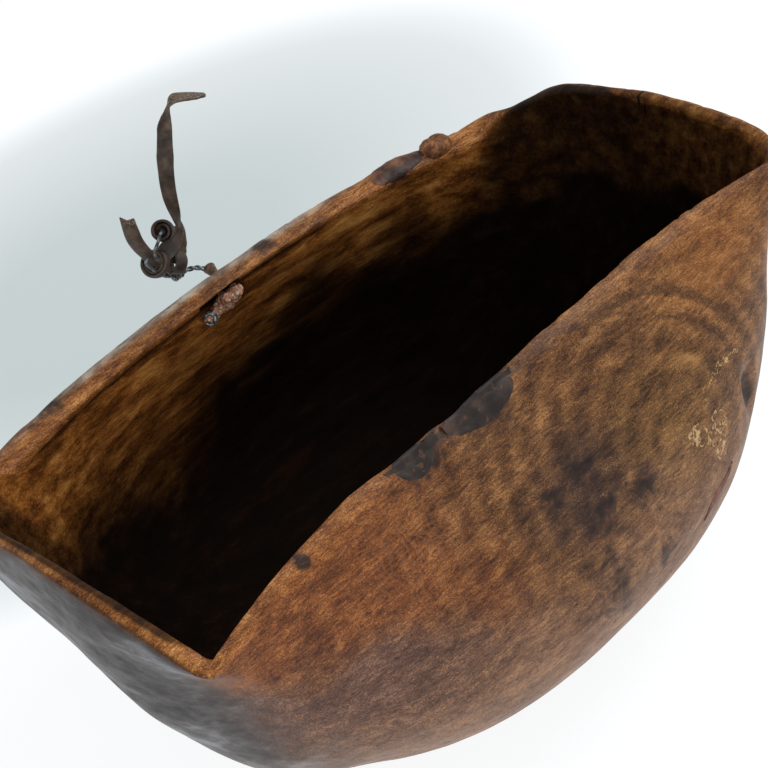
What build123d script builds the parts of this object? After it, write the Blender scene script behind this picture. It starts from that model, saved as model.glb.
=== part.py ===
from build123d import *
import os
from math import cos, pi, radians, sqrt, tan

# A hand-carved wooden bowl with a four-cornered mouth, its old repairs, and the
# hanger in its far wall: a wire tie, a thong and a leather bead.
# Millimetres. +X runs along the mouth, +Y to the wall with the hanger, +Z up.
# The origin is the centre of the worn flat face that the bowl stands on.

# Mouth: the four corners of the outer edge, and how far each rim bows outward.
CORNER_X = 190.0
LEFT_CORNER_Y = 98.0
RIGHT_CORNER_Y = 78.0
NEAR_BOW = -12.0
FAR_BOW = 11.0
LEFT_BOW = 13.0
RIGHT_BOW = -7.0
MOUTH_Z = 170.0

# Body: the belly of the two long walls, and the flat foot.
NEAR_BELLY_Y = 132.0
FAR_BELLY_Y = 112.0
BELLY_Z = 77.0
FOOT_X = 66.0
FOOT_Y = 39.0
WALL_LEAN_POWER = 1.62
CORNER_FADE_POWER = 4.8
ROUND_CORNER = 0.755
SIDE_POWER = 2.9

# How far two corners of the mouth stand from their even places.
CORNER_SHIFT = {"near_left": (-2.0, 2.0), "far_right": (-23.0, 3.0)}

# Rim height over the floor, as a smooth surface.
RIM_TOP_Z = 190.0
RIM_TILT_X = -6.3
RIM_TILT_Y = 1.5
RIM_FALL_X2 = -2.7
RIM_FALL_X4 = -5.3
RIM_FALL_Y2 = -25.0
RIM_TWIST = -12.7
RIM_UNIT_X = 190.0
RIM_UNIT_Y = 85.0

# Wood left by the carver: the near wall thins towards its rim.
NEAR_WALL = 9.0
NEAR_RIM = 4.0
FAR_WALL = 12.0
END_WALL = 6.5
FLOOR = 14.0

# Slot through the far wall, with its packing.
SLOT_X = -22.5
SLOT_Z = 145.0
SLOT_LENGTH = 29.0
SLOT_HEIGHT = 7.0
PACKING_GAP = 0.1
PACKING_Y = (89.8, 107.5)
STUB_RADIUS = 3.4
STUB_START = (-12.0, 105.5, 146.0)
STUB_END = (-10.4, 117.0, 147.2)

# Wire tie: two strands twisted together, then parted.
STRAND = 1.5
TWIST = 3.0
EYE_CENTRE = (-34.6, 85.6, 143.4)
EYE_RADIUS = 2.8
HINGE_Y = 125.0
HINGE_Z = 149.0
TWIST_ROUTE = [
    (-33.0, 87.6, 143.6),
    (-12.0, 107.0, 146.2),
    (-10.6, 116.5, 147.2),
    (-16.0, HINGE_Y, HINGE_Z),
    (-30.5, HINGE_Y, HINGE_Z),
]

# Leather: the thong's band, the sleeve that it makes round the wire, and the bead.
STRAP_WIDTH = 8.0
STRAP_THICK = 1.8
SLEEVE_X = (-28.5, -21.0)
SLEEVE_BORE = 3.6
SLEEVE_OUTER = 5.6
LOOP_Y = 127.5
BEAD_CENTRE = (-25.2, 124.0, 176.5)
BEAD_AXIS = (0.46, 0.61, -0.645)
BEAD_RADIUS = 6.0
BEAD_BORE = 1.4
BEAD_LENGTH = 7.0
BEAD_EDGE = 1.2
STRAND_CORNER = 1.6
CURLED_STRAND = [
    (-30.2, HINGE_Y, HINGE_Z),
    (-33.2, 124.2, 156.6),
    (-36.6, 123.6, 163.2),
    (-35.2, 123.0, 167.2),
]

# Repairs, as the stretch of wood that each one has taken the place of.
FAR_PITCH = ((80.0, 78.0, 138.0), (106.5, 104.0, 170.0))
NEAR_PITCH = (
    ((-77.0, -96.0, 160.5), (-51.0, -60.0, 190.0)),
    ((-40.0, -96.0, 161.0), (-9.0, -60.0, 190.0)),
)
KNOT_CENTRE = (115.5, 88.0, 152.4)
KNOT_SIZE = (8.0, 6.8, 5.0)
SPLIT_CENTRE = (54.0, -126.0, 81.0)
SPLIT_SIZE = (3.4, 40.0, 34.0)
SPLIT_TILT = 62.0

# Routes of the two tails, from the sleeve outward.
SHORT_TAIL = [
    (-24.0, 144.0),
    (-31.5, 145.6),
    (-37.6, 152.0),
    (-40.2, 162.0),
    (-38.4, 172.5),
    (-39.4, 183.0),
    (-43.0, 193.5),
]
LONG_TAIL = [
    (-20.0, HINGE_Z + SLEEVE_OUTER + 0.05),
    (-17.6, 163.5),
    (-14.6, 174.5),
    (-15.6, 188.0),
    (-13.4, 203.5),
    (-9.4, 218.0),
    (-6.2, 228.5),
    (0.6, 236.0),
    (9.6, 232.0),
    (18.2, 227.4),
]


def quarter(u):
    """Height of a unit quarter ellipse that leaves its start at right angles."""
    return sqrt(max(0.0, 1.0 - (1.0 - min(u, 1.0)) ** 2))


def reach(z, floor, wall_near, rim_near, wall_far, wall_end):
    """Corners and mid-side reach of the closed horizontal section at height z."""
    up_ends = quarter((z - floor) / (MOUTH_Z - floor))
    up_sides = quarter((z - floor) / (BELLY_Z - floor))
    lean = max(0.0, (z - BELLY_Z) / (MOUTH_Z - BELLY_Z)) ** WALL_LEAN_POWER
    fade = min(z / MOUTH_Z, 1.0) ** CORNER_FADE_POWER
    corner = ROUND_CORNER + (1.0 - ROUND_CORNER) * fade

    def end(bow):
        return FOOT_X + (CORNER_X + bow - wall_end - FOOT_X) * up_ends

    def side(belly, mouth, wall, rim):
        widest = belly - wall
        return FOOT_Y + (widest - FOOT_Y) * up_sides - (widest - (mouth - rim)) * lean

    left, right = end(LEFT_BOW), end(RIGHT_BOW)
    corners = {}
    mids = {"near": 0.0, "far": 0.0, "left": -left, "right": right}
    for name, x, half in (("left", -left, LEFT_CORNER_Y), ("right", right, RIGHT_CORNER_Y)):
        bow_x = LEFT_BOW if name == "left" else RIGHT_BOW
        corner_x = corner * (abs(x) - bow_x * fade) * (1 if x > 0 else -1)
        near = side(NEAR_BELLY_Y, half + NEAR_BOW, wall_near, rim_near)
        far = side(FAR_BELLY_Y, half + FAR_BOW, wall_far, wall_far)
        corners["near_" + name] = (corner_x, -corner * (near - NEAR_BOW * fade))
        corners["far_" + name] = (corner_x, corner * (far - FAR_BOW * fade))
        mids["near"] -= near / 2
        mids["far"] += far / 2
    for name, (x, y) in CORNER_SHIFT.items():
        corners[name] = (corners[name][0] + x * fade, corners[name][1] + y * fade)
    return corners, mids


def side_points(start, end, mid, axis, count=11):
    """Points along one side of a section, bowed so that its middle reaches mid."""
    chord = (start[axis] + end[axis]) / 2
    points = []
    for i in range(count):
        t = 2.0 * i / (count - 1) - 1.0
        point = [start[a] * (0.5 - 0.5 * t) + end[a] * (0.5 + 0.5 * t) for a in (0, 1)]
        point[axis] += (mid - chord) * (1.0 - abs(t) ** SIDE_POWER)
        points.append(point)
    return points


def section(z, *walls):
    """One closed horizontal section as a wire of four smooth sides."""
    corners, mids = reach(z, *walls)
    sides = (
        ("near_left", "near_right", "near", 1),
        ("near_right", "far_right", "right", 0),
        ("far_right", "far_left", "far", 1),
        ("far_left", "near_left", "left", 0),
    )
    edges = []
    for start, end, mid, axis in sides:
        points = side_points(corners[start], corners[end], mids[mid], axis)
        edges.append(Edge.make_spline([Vector(x, y, z) for x, y in points]))
    return Wire(edges)


def vessel(floor, top, *walls):
    """A solid whose sections follow the body, from its floor to above the rim."""
    count = 15
    heights = [floor + (top - floor) * (1.0 - cos(pi / 2 * i / count)) for i in range(count + 1)]
    return Solid.make_loft([section(z, floor, *walls) for z in heights])


def rim_height(x, y):
    """Height of the rim surface over the floor."""
    u, v = x / RIM_UNIT_X, y / RIM_UNIT_Y
    along = RIM_TILT_X * u + RIM_FALL_X2 * u * u + RIM_FALL_X4 * u**4
    across = RIM_TILT_Y * v + RIM_FALL_Y2 * v * v + RIM_TWIST * u * u * v
    return RIM_TOP_Z + along + across


def above_rim():
    """Everything over the rim surface, to cut away from the body."""
    columns, rows = 13, 9
    span_x, span_y = 230.0, 150.0
    grid = []
    for i in range(columns):
        x = span_x * (2.0 * i / (columns - 1) - 1.0)
        ys = [span_y * (2.0 * j / (rows - 1) - 1.0) for j in range(rows)]
        grid.append([Vector(x, y, rim_height(x, y)) for y in ys])
    return extrude(Face.make_surface_from_array_of_points(grid), 160.0, (0, 0, 1))


def slot_bar(gap, y0, y1):
    """The slot's section, drawn through the far wall from y0 to y1."""
    plane = Plane((SLOT_X, y0, SLOT_Z), x_dir=(1, 0, 0), z_dir=(0, 1, 0))
    outline = SlotOverall(SLOT_LENGTH - 2 * gap, SLOT_HEIGHT - 2 * gap)
    return extrude(plane * outline, y1 - y0)


def turn(before, point, after):
    """The angle in degrees by which a route turns at a point."""
    return (Vector(*point) - Vector(*before)).get_angle(Vector(*after) - Vector(*point))


def route(points, largest=None):
    """Straight runs joined by the largest tangent arcs that the runs allow."""
    radii = []
    for before, point, after in zip(points, points[1:], points[2:]):
        shorter = min(
            (Vector(*point) - Vector(*before)).length,
            (Vector(*after) - Vector(*point)).length,
        )
        radius = 0.45 * shorter / tan(radians(turn(before, point, after)) / 2)
        radii.append(min(radius, largest) if largest else radius)
    print("arc radii", [round(radius, 1) for radius in radii])
    return FilletPolyline(*points, radius=radii)


def rod(points, diameter, largest=None):
    """A round rod swept along a route."""
    path = route(points, largest)
    start = Plane(origin=path @ 0, z_dir=path % 0)
    return sweep(start * Circle(diameter / 2), path=path)


def strap(points, y):
    """A flat strap whose route lies in a plane across Y, its width along Y."""
    path = route([(x, y, z) for x, z in points])
    start = Plane(origin=path @ 0, x_dir=(0, 1, 0), z_dir=path % 0)
    return sweep(start * Rectangle(STRAP_WIDTH, STRAP_THICK), path=path)


def on_axis(centre, axis, distance):
    """The point at a distance from centre along an axis."""
    moved = Vector(*centre) + Vector(*axis).normalized() * distance
    return (moved.X, moved.Y, moved.Z)


def block(corners):
    """A box between two opposite corners."""
    low, high = corners
    size = [b - a for a, b in zip(low, high)]
    middle = [(a + b) / 2 for a, b in zip(low, high)]
    return Pos(*middle) * Box(*size)


def ellipsoid(centre, radii):
    """A sphere stretched to three radii."""
    return Pos(*centre) * scale(Sphere(1.0), by=radii)


def make_tie_wire():
    """Eye inside the bowl, twisted pair through the slot, and two parted strands."""
    eye_plane = Plane(origin=EYE_CENTRE, z_dir=BEAD_AXIS)
    eye = eye_plane * Torus(EYE_RADIUS, STRAND / 2)
    bead_strand = [
        (-30.0, HINGE_Y, HINGE_Z),
        (-31.2, 123.8, 159.0),
        (-33.4, 120.6, 170.0),
        on_axis(BEAD_CENTRE, BEAD_AXIS, -7.0),
        on_axis(BEAD_CENTRE, BEAD_AXIS, 5.0),
    ]
    rods = [
        rod(TWIST_ROUTE, TWIST),
        rod(bead_strand, STRAND, STRAND_CORNER),
        rod(CURLED_STRAND, STRAND),
    ]
    return eye.fuse(*rods)


def make_packing(bowl_wall):
    """Hide and resin packed in the slot round the wire, with a stub outside."""
    bar = slot_bar(PACKING_GAP, *PACKING_Y)
    along = Vector(*STUB_END) - Vector(*STUB_START)
    stub = extrude(Plane(origin=STUB_START, z_dir=along) * Circle(STUB_RADIUS), along.length)
    wire_way = rod(TWIST_ROUTE, TWIST + 2 * PACKING_GAP)
    packing = bar.fuse(stub) - wire_way
    return packing - bowl_wall


def make_thong_loop():
    """The sleeve that the thong makes round the wire, and its short torn tail."""
    x0, x1 = SLEEVE_X
    plane = Plane((x0, HINGE_Y, HINGE_Z), z_dir=(1, 0, 0))
    sleeve = extrude(plane * (Circle(SLEEVE_OUTER) - Circle(SLEEVE_BORE)), x1 - x0)
    return sleeve.fuse(strap(SHORT_TAIL, LOOP_Y))


def make_bead():
    """A short roll of leather with a bore."""
    plane = Plane(origin=BEAD_CENTRE, z_dir=BEAD_AXIS)
    roll = Cylinder(BEAD_RADIUS, BEAD_LENGTH)
    roll = fillet(roll.edges().filter_by(GeomType.CIRCLE), BEAD_EDGE)
    return plane * (roll - Cylinder(BEAD_BORE, 2 * BEAD_LENGTH))


def make_bowl_and_repairs():
    """The bowl, and the pieces that fill the places cut out of it."""
    outer = vessel(0.0, 205.0, 0.0, 0.0, 0.0, 0.0)
    inner = vessel(FLOOR, 212.0, NEAR_WALL, NEAR_RIM, FAR_WALL, END_WALL)
    whole = outer - inner - above_rim()
    knot = ellipsoid(KNOT_CENTRE, KNOT_SIZE)
    split = Pos(*SPLIT_CENTRE) * Rot(0, SPLIT_TILT, 0) * Box(*SPLIT_SIZE)
    places = {
        "far_rim_pitch": block(FAR_PITCH),
        "near_rim_pitch_left": block(NEAR_PITCH[0]),
        "near_rim_pitch_right": block(NEAR_PITCH[1]),
        "split_filler": split,
    }
    repairs = {name: whole & place for name, place in places.items()}
    repairs["rim_knot"] = knot
    carved = whole - slot_bar(0.0, PACKING_Y[0] - 20.0, PACKING_Y[1] + 20.0)
    for place in list(places.values()) + [knot]:
        carved = carved - place
    return carved, repairs


bowl, repairs = make_bowl_and_repairs()
nodes = {
    "bowl": bowl,
    **repairs,
    "slot_packing": make_packing(bowl),
    "tie_wire": make_tie_wire(),
    "thong_loop": make_thong_loop(),
    "thong_tail": strap(LONG_TAIL, HINGE_Y),
    "bead": make_bead(),
}

os.makedirs("parts", exist_ok=True)
for name, solid in nodes.items():
    export_step(solid, f"parts/{name}.step")
    print(name, len(solid.solids()), round(solid.volume, 1), solid.is_valid)
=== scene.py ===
import math
from itertools import product
from types import SimpleNamespace

import bpy
import numpy as np
from mathutils import Matrix, Vector


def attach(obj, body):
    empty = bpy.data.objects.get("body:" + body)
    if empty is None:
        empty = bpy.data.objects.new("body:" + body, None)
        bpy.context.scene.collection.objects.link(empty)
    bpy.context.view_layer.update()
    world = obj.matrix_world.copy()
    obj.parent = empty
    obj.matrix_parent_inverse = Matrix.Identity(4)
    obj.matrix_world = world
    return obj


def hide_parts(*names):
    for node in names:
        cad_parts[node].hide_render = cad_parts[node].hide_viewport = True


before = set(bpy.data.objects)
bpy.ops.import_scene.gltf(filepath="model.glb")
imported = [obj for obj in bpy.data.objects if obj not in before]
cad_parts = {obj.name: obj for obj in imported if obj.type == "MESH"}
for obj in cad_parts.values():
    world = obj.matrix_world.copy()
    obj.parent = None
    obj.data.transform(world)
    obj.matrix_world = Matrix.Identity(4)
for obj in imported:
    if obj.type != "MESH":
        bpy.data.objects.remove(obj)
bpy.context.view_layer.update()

# Metres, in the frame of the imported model: +X along the mouth, +Y to the wall with the
# hanger, +Z up, origin at the centre of the foot. mm and degrees are converted by name.
MM = 0.001

# ---------------------------------------------------------------- shape of the bowl
CORNER_X = 190 * MM
LEFT_CORNER_Y = 98 * MM
RIGHT_CORNER_Y = 78 * MM
NEAR_BOW = -12 * MM
FAR_BOW = 11 * MM
LEFT_BOW = 13 * MM
RIGHT_BOW = -7 * MM
MOUTH_Z = 170 * MM
NEAR_BELLY_Y = 132 * MM
FAR_BELLY_Y = 112 * MM
BELLY_Z = 77 * MM
FOOT_X = 66 * MM
FOOT_Y = 39 * MM
WALL_LEAN_POWER = 1.62
CORNER_FADE_POWER = 4.8
ROUND_CORNER = 0.755
SIDE_POWER = 2.9
# How far each skin stands inside the outer one.
OUTER = {"floor": 0.0, "near": 0.0, "near_rim": 0.0, "far": 0.0, "end": 0.0}
INNER = {"floor": 14 * MM, "near": 9 * MM, "near_rim": 4 * MM, "far": 12 * MM, "end": 6.5 * MM}
CORNER_SHIFT = {("near", "left"): (-2 * MM, 2 * MM), ("far", "right"): (-23 * MM, 3 * MM)}

# The far rim is nearly level across; its inner edge is this much lower than its outer edge.
FAR_RIM_DROP = 1.2 * MM

# The slot through the far wall: x and z of its centre, and its size.
SLOT_CENTRE = (-24.5 * MM, 147 * MM)
SLOT_LENGTH = 29 * MM
SLOT_HEIGHT = 9 * MM

# Columns of the bowl's surface on each side, and rows on each stretch of its profile.
SIDES = (("near", 240), ("right", 110), ("far", 300), ("left", 130))
FOOT_ROWS = 12
OUTER_ROWS = 150
RIM_ROWS = 21
INNER_ROWS = 112
LATTICE = 64


def smoothstep(low, high, value):
    """0 below low, 1 above high, and smooth between them."""
    t = np.clip((value - low) / (high - low), 0.0, 1.0)
    return t * t * (3.0 - 2.0 * t)


def value_noise(points, size, seed):
    """Smooth noise from -1 to 1, with features of one size or of one size per axis."""
    lattice = np.random.default_rng(seed).uniform(-1.0, 1.0, (LATTICE,) * 3)
    place = points / np.asarray(size) + 0.5 * LATTICE
    cell = np.floor(place).astype(int)
    part = place - cell
    part = part * part * (3.0 - 2.0 * part)
    total = np.zeros(points.shape[:-1])
    for corner in product((0, 1), repeat=3):
        share = np.prod(np.where(corner, part, 1.0 - part), axis=-1)
        x, y, z = np.moveaxis((cell + corner) % LATTICE, -1, 0)
        total += share * lattice[x, y, z]
    return total


def rim_height(x, y):
    """Height of the rim over the floor."""
    u, v = x / 0.190, y / 0.085
    along = -6.3 * u - 2.7 * u**2 - 5.3 * u**4
    across = 1.5 * v - 25.0 * v**2 - 12.7 * u**2 * v
    return (190.0 + along + across) * MM


def column_places():
    """Side number and place along the side, from -1 to 1, of each column."""
    sides, places = [], []
    for number, (name, count) in enumerate(SIDES):
        fine = np.linspace(-1.0, 1.0, 2001)
        density = np.ones_like(fine)
        if name == "far":
            density += 1.4 * np.exp(-(((fine - 0.12) / 0.14) ** 4))
        reached = np.cumsum(density) - density[0]
        wanted = np.linspace(0.0, reached[-1], count, endpoint=False)
        places.append(np.interp(wanted, reached, fine))
        sides.append(np.full(count, number))
    return np.concatenate(sides), np.concatenate(places)


SIDE, PLACE = column_places()
COLUMNS = len(SIDE)


def quarter(u):
    """Reach of a unit quarter ellipse that leaves its start at right angles."""
    return np.sqrt(np.clip(1.0 - (1.0 - np.clip(u, 0.0, 1.0)) ** 2, 0.0, None))


def skin_points(z, skin):
    """X and Y of the outer or inner skin at height z, for every column."""
    rise = np.clip(z / MOUTH_Z, 0.0, 1.0) ** CORNER_FADE_POWER
    corner = ROUND_CORNER + (1.0 - ROUND_CORNER) * rise
    up_ends = quarter((z - skin["floor"]) / (MOUTH_Z - skin["floor"]))
    up_sides = quarter((z - skin["floor"]) / (BELLY_Z - skin["floor"]))
    lean = np.clip((z - BELLY_Z) / (MOUTH_Z - BELLY_Z), 0.0, None) ** WALL_LEAN_POWER

    def end_reach(bow):
        return FOOT_X + (CORNER_X + bow - skin["end"] - FOOT_X) * up_ends

    def side_reach(belly, mouth, wall, rim):
        widest = belly - wall
        return FOOT_Y + (widest - FOOT_Y) * up_sides - (widest - (mouth - rim)) * lean

    corners, mids = {}, {"near": 0.0, "far": 0.0}
    for name, sign, half, bow in (
        ("left", -1.0, LEFT_CORNER_Y, LEFT_BOW),
        ("right", 1.0, RIGHT_CORNER_Y, RIGHT_BOW),
    ):
        end = end_reach(bow)
        near = side_reach(NEAR_BELLY_Y, half + NEAR_BOW, skin["near"], skin["near_rim"])
        far = side_reach(FAR_BELLY_Y, half + FAR_BOW, skin["far"], skin["far"])
        corner_x = sign * corner * (end - bow * rise)
        corners["near", name] = (corner_x, -corner * (near - NEAR_BOW * rise))
        corners["far", name] = (corner_x, corner * (far - FAR_BOW * rise))
        mids[name] = sign * end
        mids["near"] = mids["near"] - near / 2
        mids["far"] = mids["far"] + far / 2
    for name, (shift_x, shift_y) in CORNER_SHIFT.items():
        corner_x, corner_y = corners[name]
        corners[name] = (corner_x + shift_x * rise, corner_y + shift_y * rise)
    x, y = np.zeros(z.shape), np.zeros(z.shape)
    ends = (
        (("near", "left"), ("near", "right"), "near"),
        (("near", "right"), ("far", "right"), "right"),
        (("far", "right"), ("far", "left"), "far"),
        (("far", "left"), ("near", "left"), "left"),
    )
    for number, (start, stop, side) in enumerate(ends):
        here = SIDE == number
        t = PLACE[here]
        path = [
            corners[start][axis][:, here] * (0.5 - 0.5 * t)
            + corners[stop][axis][:, here] * (0.5 + 0.5 * t)
            for axis in (0, 1)
        ]
        bowed = 1 if side in ("near", "far") else 0
        chord = (corners[start][bowed] + corners[stop][bowed])[:, here] / 2
        path[bowed] = path[bowed] + (mids[side][:, here] - chord) * (1 - abs(t) ** SIDE_POWER)
        x[:, here], y[:, here] = path
    return x, y


def crest(skin):
    """Height at which each column of a skin meets the rim."""
    z = np.full((1, COLUMNS), MOUTH_Z)
    for _ in range(14):
        z = rim_height(*skin_points(z, skin))
    return z


def soften(points, sigma):
    """Rounds the four corner creases, by sigma columns in each row."""
    frequency = np.fft.fftfreq(COLUMNS)
    keep = np.exp(-2.0 * (math.pi * sigma[:, None] * frequency) ** 2)
    spectrum = np.fft.fft(points, axis=1) * keep[..., None]
    return np.real(np.fft.ifft(spectrum, axis=1))


def bowl_grid():
    """The bowl's surface as rows by columns, from the foot's centre over the rim to the floor's."""
    top_out, top_in = crest(OUTER), crest(INNER)
    shelf = (SIDE == 2) * smoothstep(1.0, 0.94, np.abs(PLACE))
    top_in = top_in + (top_out - FAR_RIM_DROP - top_in) * shelf
    edge = np.array([2.6, 2.8, 3.6, 3.2])[SIDE] * MM
    flatness = np.array([0.9, 0.7, 0.36, 0.6])[SIDE]
    up = 1.0 - np.cos(0.5 * math.pi * np.linspace(0.0, 1.0, OUTER_ROWS))[:, None]
    wall_out = up * (top_out - edge)
    down = 1.0 - np.linspace(0.0, 1.0, INNER_ROWS) ** 1.25
    down = (1.0 - np.cos(0.5 * math.pi * down))[:, None]
    wall_in = INNER["floor"] + down * (top_in - edge - INNER["floor"])

    def skin(z, kind):
        return np.stack([*skin_points(z, kind), z], axis=-1)

    outer, inner = skin(wall_out, OUTER), skin(wall_in, INNER)
    turn = np.linspace(0.0, math.pi, RIM_ROWS + 2)[1:-1, None]
    across = 0.5 - 0.5 * np.cos(turn)
    height = top_out + (top_in - top_out) * across - edge * (1.0 - np.sin(turn) ** flatness)
    rim = (1 - across)[..., None] * skin(height, OUTER) + across[..., None] * skin(height, INNER)
    shrink = np.linspace(0.0, 1.0, FOOT_ROWS, endpoint=False)[1:, None, None]
    foot = outer[:1] * shrink * (1, 1, 0)
    floor = inner[-1:] * shrink[::-1] * (1, 1, 0) + (0, 0, INNER["floor"])
    grid = np.concatenate([foot, outer, rim, inner, floor])
    level = grid[..., 2].mean(axis=1) / MOUTH_Z
    depth = np.clip(1.0 - level, 0.0, 1.0)
    is_rim = np.zeros(len(grid))
    is_rim[len(foot) + OUTER_ROWS : -(INNER_ROWS + len(floor))] = 1.0
    sigma = np.where(is_rim > 0, 1.0, 1.0 + 11.4 * depth**0.9)
    return soften(grid, sigma), len(foot)


def grid_normals(grid):
    """Outward unit normals of a closed ring grid."""
    along = np.roll(grid, -1, axis=1) - np.roll(grid, 1, axis=1)
    up = np.gradient(grid, axis=0)
    normal = np.cross(along, up)
    return normal / np.maximum(np.linalg.norm(normal, axis=-1, keepdims=True), 1e-12)


def mesh_object(name, vertices, faces, material, smooth=True):
    """A new object from vertices and faces, with one material."""
    mesh = bpy.data.meshes.new(name)
    mesh.from_pydata([tuple(v) for v in vertices], [], [tuple(f) for f in faces])
    mesh.polygons.foreach_set("use_smooth", [smooth] * len(mesh.polygons))
    mesh.materials.append(material)
    piece = bpy.data.objects.new(name, mesh)
    bpy.context.scene.collection.objects.link(piece)
    return piece


def ring_faces(rows, columns):
    """Quads of a grid whose columns close on themselves."""
    r, c = np.meshgrid(np.arange(rows - 1), np.arange(columns), indexing="ij")
    after = (c + 1) % columns
    quads = [r * columns + c, r * columns + after, (r + 1) * columns + after, (r + 1) * columns + c]
    return np.stack(quads, axis=-1).reshape(-1, 4).tolist()


def belong(pieces, body, node):
    """The pieces ride on a body, and the CAD node is hidden."""
    for piece in pieces:
        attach(piece, body)
    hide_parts(node)


def closed_faces(rows, columns):
    """The quads of a ring grid, closed by a fan about each of the two points that follow it."""
    faces = ring_faces(rows, columns)
    start, stop, last = rows * columns, rows * columns + 1, (rows - 1) * columns
    for c in range(columns):
        after = (c + 1) % columns
        faces.append((after, c, start))
        faces.append((last + c, last + after, stop))
    return faces


def attribute(piece, name, values):
    """Stores one number per vertex for the materials to read."""
    data = piece.data.attributes.new(name, "FLOAT", "POINT").data
    data.foreach_set("value", np.asarray(values, np.float32).ravel())


# ---------------------------------------------------------------- shader helpers
class Shader:
    """A material being built: its node tree and a few short ways to add to it."""

    def __init__(self, name):
        self.material = bpy.data.materials.new(name)
        self.material.use_nodes = True
        self.tree = self.material.node_tree
        self.surface = self.tree.nodes["Principled BSDF"]
        self.place = self.node("TexCoord").outputs["Object"]

    def node(self, kind, inputs=None, **settings):
        made = self.tree.nodes.new("ShaderNode" + kind)
        for key, value in settings.items():
            setattr(made, key, value)
        for key, value in (inputs or {}).items():
            self.set(made.inputs[key], value)
        return made

    def set(self, socket, value):
        if isinstance(value, bpy.types.NodeSocket):
            self.tree.links.new(value, socket)
        else:
            socket.default_value = value

    def stretched(self, scale, place=None):
        """The place scaled along each axis: below 1 draws a texture out along that axis."""
        inputs = {"Vector": place or self.place, "Scale": scale}
        return self.node("Mapping", inputs).outputs["Vector"]

    def noise(self, scale, place=None, detail=4.0, roughness=0.55, distortion=0.0):
        inputs = {
            "Vector": place or self.place,
            "Scale": scale,
            "Detail": detail,
            "Roughness": roughness,
            "Distortion": distortion,
        }
        return self.node("TexNoise", inputs).outputs["Fac"]

    def maths(self, operation, a, b=0.0):
        return self.node("Math", {0: a, 1: b}, operation=operation).outputs[0]

    def times(self, a, b):
        return self.maths("MULTIPLY", a, b)

    def plus(self, a, b):
        return self.maths("ADD", a, b)

    def minus(self, a, b):
        return self.maths("SUBTRACT", a, b)

    def weighed(self, *shares):
        """The sum of some values, each times its share."""
        total = 0.0
        for value, share in shares:
            total = self.plus(self.times(value, share), total)
        return total

    def vector(self, operation, a, b, output="Vector"):
        return self.node("VectorMath", {0: a, 1: b}, operation=operation).outputs[output]

    def distance(self, place, centre):
        """How far place is from centre."""
        return self.vector("DISTANCE", place, centre, "Value")

    def out_of(self, centre, radii, place):
        """How far out of an ellipsoid place is: 1 on its surface."""
        shrunk = self.vector("DIVIDE", self.vector("SUBTRACT", place, centre), radii)
        return self.distance(shrunk, (0.0, 0.0, 0.0))

    def shaken(self, scale, detail, reach):
        """The place on the piece, moved about by noise of this scale, by about reach metres."""
        inputs = {"Vector": self.place, "Scale": scale, "Detail": detail}
        noise = self.node("TexNoise", inputs).outputs["Color"]
        centred = self.vector("SUBTRACT", noise, (0.5, 0.5, 0.5))
        moved = self.vector("MULTIPLY", centred, (reach, reach, reach))
        return self.vector("ADD", self.place, moved)

    def between(self, value, low, high):
        """0 where value is at low, 1 where it is at high."""
        inputs = {"Value": value, "From Min": low, "From Max": high}
        return self.node("MapRange", inputs, interpolation_type="SMOOTHSTEP").outputs[0]

    def level(self, value, low, high):
        """A number from low to high as value goes from 0 to 1."""
        return self.node("MapRange", {"Value": value, "To Min": low, "To Max": high}).outputs[0]

    def blend(self, share, first, second):
        """The first colour, with a share of it replaced by the second."""
        made = self.node("Mix", data_type="RGBA")
        self.set(made.inputs[0], share)
        self.set(made.inputs[6], rgba(first))
        self.set(made.inputs[7], rgba(second))
        return made.outputs[2]

    def ramp(self, value, positions, *colours):
        """A colour from value: each of the colours at its position, and mixtures between."""
        made = self.node("ValToRGB", {"Fac": value})
        elements = made.color_ramp.elements
        while len(elements) < len(colours):
            elements.new(0.5)
        for element, position, colour in zip(elements, positions, colours):
            element.position = position
            element.color = rgba(colour)
        return made.outputs["Color"]

    def mask(self, name):
        """One of the numbers stored on the piece's vertices."""
        return self.node("Attribute", attribute_name=name).outputs["Fac"]

    def bump(self, height, distance, strength=1.0):
        inputs = {"Height": height, "Distance": distance, "Strength": strength}
        return self.node("Bump", inputs).outputs["Normal"]

    def finish(self, colour, roughness, normal, **fixed):
        """Sets the surface, with fixed numbers for its other sockets, and returns the material."""
        self.set(self.surface.inputs["Base Color"], colour)
        self.set(self.surface.inputs["Roughness"], roughness)
        self.set(self.surface.inputs["Normal"], normal)
        for key, value in fixed.items():
            self.surface.inputs[key.replace("_", " ")].default_value = value
        return self.material


def in_metres(place):
    """A place in mm as a vector in metres."""
    return tuple(MM * value for value in place)


def rgba(colour):
    """A linear colour from three sRGB numbers of 0 to 255; sockets pass through."""
    if isinstance(colour, bpy.types.NodeSocket):
        return colour
    linear = [(c / 255 / 12.92) if c <= 10 else ((c / 255 + 0.055) / 1.055) ** 2.4 for c in colour]
    return (*linear, 1.0)


# Where the outside differs in colour: mask, share, and its dark, middle and light tones. The
# stops are the places of such tones on the scale of the grain.
TINTS = (
    ("left", 0.85, (62, 41, 36), (104, 75, 64), (158, 122, 104)),
    ("ember", 0.8, (60, 30, 16), (120, 66, 34), (184, 112, 56)),
    ("orange", 0.8, (92, 54, 27), (152, 97, 51), (200, 140, 84)),
    ("shade", 0.9, (36, 26, 24), (64, 47, 40), (108, 79, 62)),
)
TINT_STOPS = (0.41, 0.51, 0.61)
WOOD_STOPS = (0.41, 0.47, 0.53, 0.60)


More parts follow.
